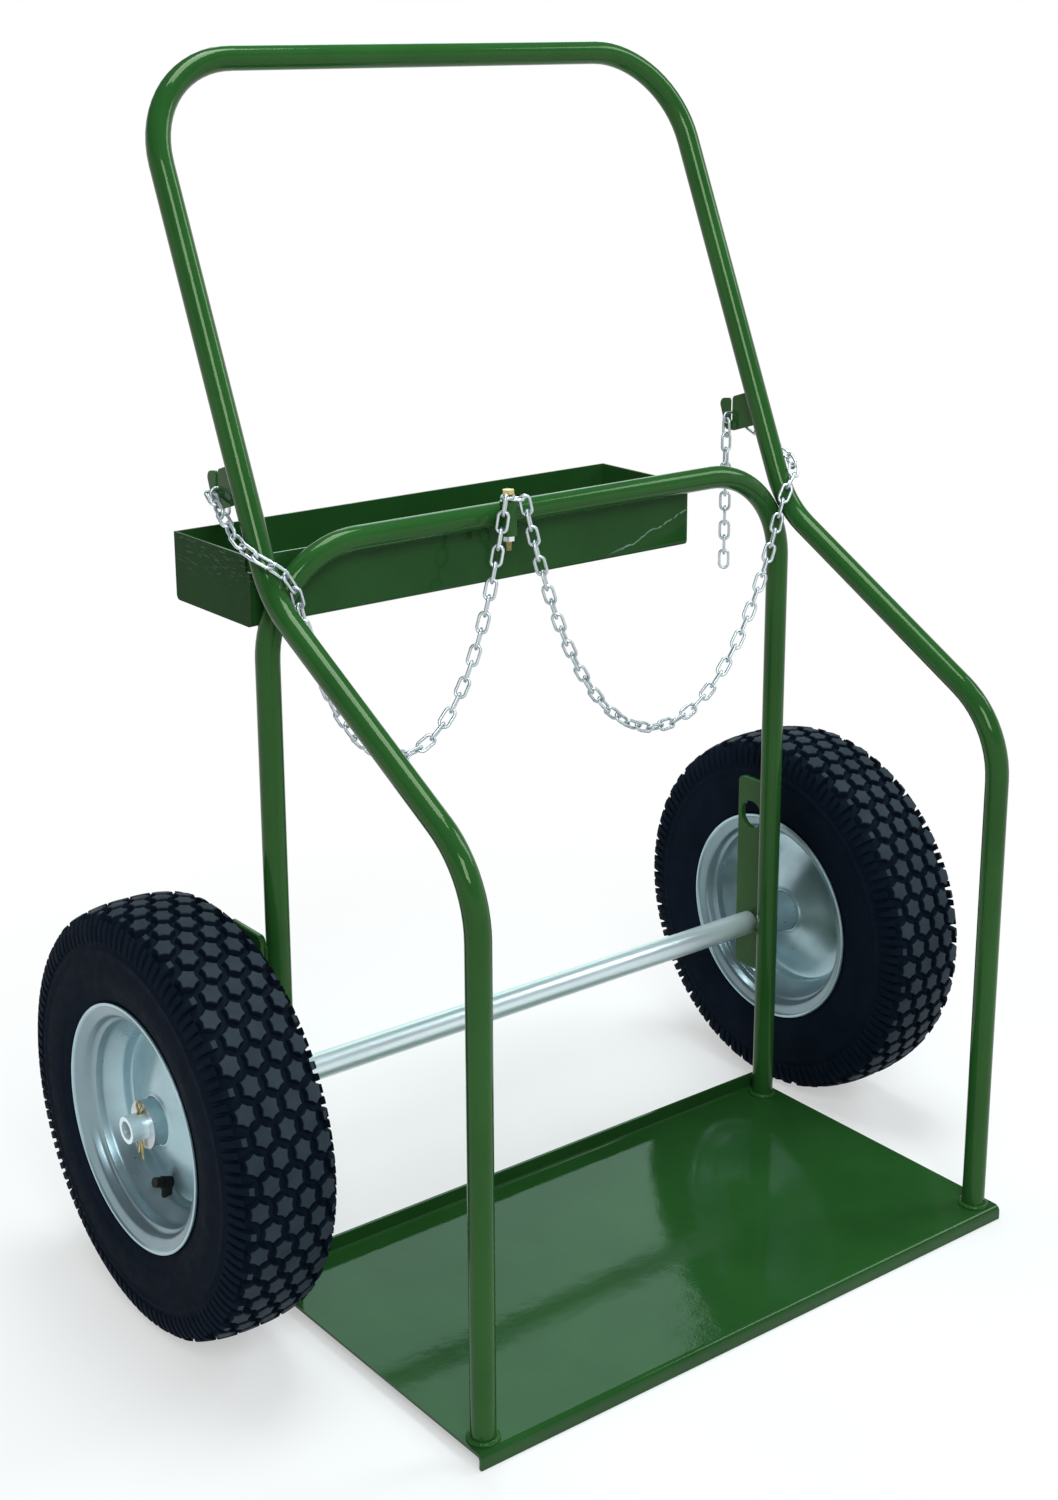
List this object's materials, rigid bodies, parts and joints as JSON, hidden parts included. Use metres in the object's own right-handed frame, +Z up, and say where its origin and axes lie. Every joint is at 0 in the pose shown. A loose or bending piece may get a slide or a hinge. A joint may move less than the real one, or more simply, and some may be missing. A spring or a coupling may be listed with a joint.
{
  "type": "gas cylinder trolley",
  "caption": "Bent-tube trolley for gas cylinders: a folded base plate, a raked handle frame, pneumatic wheels on a through axle, a tool tray and holding chains.",
  "frame": {"origin": "on the ground, at the middle of the trolley's width and midway from the plate's front to the tyres' rear", "axes": "+X to the right seen from the front, with the front on the base plate's side; +Y to the wheels' side; +Z up"},
  "size_m": [0.89, 0.56, 1.1301],
  "materials": {
    "green_enamel": "gloss enamel",
    "bright_zinc": "bright zinc plate",
    "yellow_zinc": "yellow zinc plate",
    "silver_paint": "silver paint",
    "dark_steel": "dark satin",
    "tyre": "moulded rubber",
    "black_rubber": "matte",
    "black_plastic": "matte"
  },
  "bodies": {
    "frame": {"base_plate": "green_enamel", "handle_frame": "green_enamel", "rear_hoop": "green_enamel", "tool_tray": "green_enamel", "tray_end_left": "green_enamel", "tray_end_right": "green_enamel", "left_axle_bracket": "green_enamel", "right_axle_bracket": "green_enamel", "left_chain_tab": "green_enamel", "right_chain_tab": "green_enamel", "chain_bolt_sleeve": "green_enamel", "axle": "bright_zinc", "left_wheel_washer": "bright_zinc", "right_wheel_washer": "bright_zinc", "left_chain_anchor": "bright_zinc", "right_chain_anchor": "bright_zinc", "left_chain_wrap": "bright_zinc", "right_chain_wrap": "bright_zinc", "left_cotter_pin": "yellow_zinc", "right_cotter_pin": "yellow_zinc", "chain_bolt": "yellow_zinc", "chain_nut": "yellow_zinc"},
    "left_wheel": {"left_tyre": "tyre", "left_inner_tube": "black_rubber", "left_rim": "silver_paint", "left_hub": "silver_paint", "left_roller_cages": "dark_steel", "left_rollers": "bright_zinc", "left_valve_stem": "black_rubber", "left_valve_cap": "black_plastic"},
    "right_wheel": {"right_tyre": "tyre", "right_inner_tube": "black_rubber", "right_rim": "silver_paint", "right_hub": "silver_paint", "right_roller_cages": "dark_steel", "right_rollers": "bright_zinc", "right_valve_stem": "black_rubber", "right_valve_cap": "black_plastic"},
    "left_chain": {"left_chain_loop": "bright_zinc"},
    "right_chain": {"right_chain_loop": "bright_zinc"},
    "right_tail": {"right_chain_tail": "bright_zinc"}
  },
  "joints": [
    {"name": "left_wheel_spin", "type": "hinge", "parent": "frame", "child": "left_wheel", "pos_m": [-0.392, 0.08, 0.2], "axis": [1, 0, 0], "continuous": true},
    {"name": "right_wheel_spin", "type": "hinge", "parent": "frame", "child": "right_wheel", "pos_m": [0.392, 0.08, 0.2], "axis": [1, 0, 0], "continuous": true},
    {"name": "left_chain_swing", "type": "hinge", "parent": "frame", "child": "left_chain", "pos_m": [-0.06715, 0.01065, 0.73645], "axis": [0.9727, -0.0334, 0.2294], "range_deg": [-20, 15]},
    {"name": "right_chain_swing", "type": "hinge", "parent": "frame", "child": "right_chain", "pos_m": [-0.04685, 0.01065, 0.73335], "axis": [0.9892, 0.0224, -0.1449], "range_deg": [-20, 15]},
    {"name": "right_tail_swing", "type": "hinge", "parent": "frame", "child": "right_tail", "pos_m": [0.29785, 0.112, 0.7524], "axis": [1, 0, 0], "range_deg": [-15, 25]}
  ]
}
